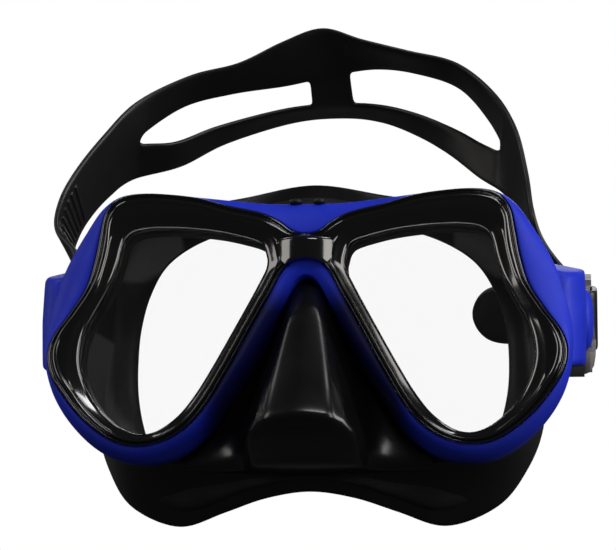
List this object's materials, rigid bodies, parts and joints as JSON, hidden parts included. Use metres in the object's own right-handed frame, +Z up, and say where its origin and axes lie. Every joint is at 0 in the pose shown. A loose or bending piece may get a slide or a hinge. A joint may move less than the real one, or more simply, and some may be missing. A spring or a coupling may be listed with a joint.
{
  "type": "diving mask",
  "caption": "Two-window diving mask with a blue frame, a black lens retainer, a silicone skirt with a nose pocket and a split head strap on swivelling buckles.",
  "frame": {"origin": "on the symmetry plane, where the face touches the skirt at the height of the eyes", "axes": "+X to the wearer's left, -Y the way the wearer looks, +Z up"},
  "size_m": [0.1847, 0.174, 0.1863],
  "materials": {
    "frame_blue": "soft satin blue polycarbonate",
    "retainer_black": "mirror-gloss black",
    "skirt_silicone": "satin liquid silicone",
    "strap_silicone": "satin silicone",
    "buckle_grey": "fine matt grey nylon",
    "pin_steel": "stainless steel",
    "lens_glass": "clear tempered glass"
  },
  "bodies": {
    "mask": {"frame_shell": "frame_blue", "lens_retainer": "retainer_black", "lens_left": "lens_glass", "lens_right": "lens_glass", "skirt": "skirt_silicone", "left_swivel_pin": "pin_steel", "left_swivel_snap_ring": "pin_steel", "right_swivel_pin": "pin_steel", "right_swivel_snap_ring": "pin_steel"},
    "strap_assembly": {"strap": "strap_silicone", "left_buckle_body": "buckle_grey", "left_pawl_pin": "pin_steel", "left_roller_axle": "pin_steel", "right_buckle_body": "buckle_grey", "right_pawl_pin": "pin_steel", "right_roller_axle": "pin_steel"},
    "left_button": {"left_buckle_button": "frame_blue"},
    "left_pawl": {"left_ratchet_pawl": "buckle_grey", "left_pawl_spring": "pin_steel"},
    "left_roller": {"left_strap_roller": "buckle_grey"},
    "right_button": {"right_buckle_button": "frame_blue"},
    "right_pawl": {"right_ratchet_pawl": "buckle_grey", "right_pawl_spring": "pin_steel"},
    "right_roller": {"right_strap_roller": "buckle_grey"}
  },
  "joints": [
    {"name": "strap_swing", "type": "hinge", "parent": "mask", "child": "strap_assembly", "pos_m": [0, -0.008, 0.0075], "axis": [1, 0, 0], "range_deg": [-75, 25]},
    {"name": "left_button_press", "type": "slide", "parent": "strap_assembly", "child": "left_button", "axis": [-1, 0, 0], "range_m": [0, 0.0012], "stiffness_N_per_m": 900, "springref_m": -0.0004},
    {"name": "left_pawl_lift", "type": "hinge", "parent": "strap_assembly", "child": "left_pawl", "pos_m": [0.084, -0.00001, 0.01041], "axis": [0, 0.342, -0.9397], "range_deg": [0, 9]},
    {"name": "left_roller_turn", "type": "hinge", "parent": "strap_assembly", "child": "left_roller", "pos_m": [0.0846, 0.00985, 0.014], "axis": [0, -0.342, 0.9397], "continuous": true},
    {"name": "right_button_press", "type": "slide", "parent": "strap_assembly", "child": "right_button", "axis": [1, 0, 0], "range_m": [0, 0.0012], "stiffness_N_per_m": 900, "springref_m": -0.0004},
    {"name": "right_pawl_lift", "type": "hinge", "parent": "strap_assembly", "child": "right_pawl", "pos_m": [-0.084, -0.00001, 0.01041], "axis": [0, -0.342, 0.9397], "range_deg": [0, 9]},
    {"name": "right_roller_turn", "type": "hinge", "parent": "strap_assembly", "child": "right_roller", "pos_m": [-0.0846, 0.00985, 0.014], "axis": [0, -0.342, 0.9397], "continuous": true}
  ],
  "couplings": [
    {"joint": "left_pawl_lift", "follows": "left_button_press", "rad_per_m": 129},
    {"joint": "right_pawl_lift", "follows": "right_button_press", "rad_per_m": 129}
  ]
}
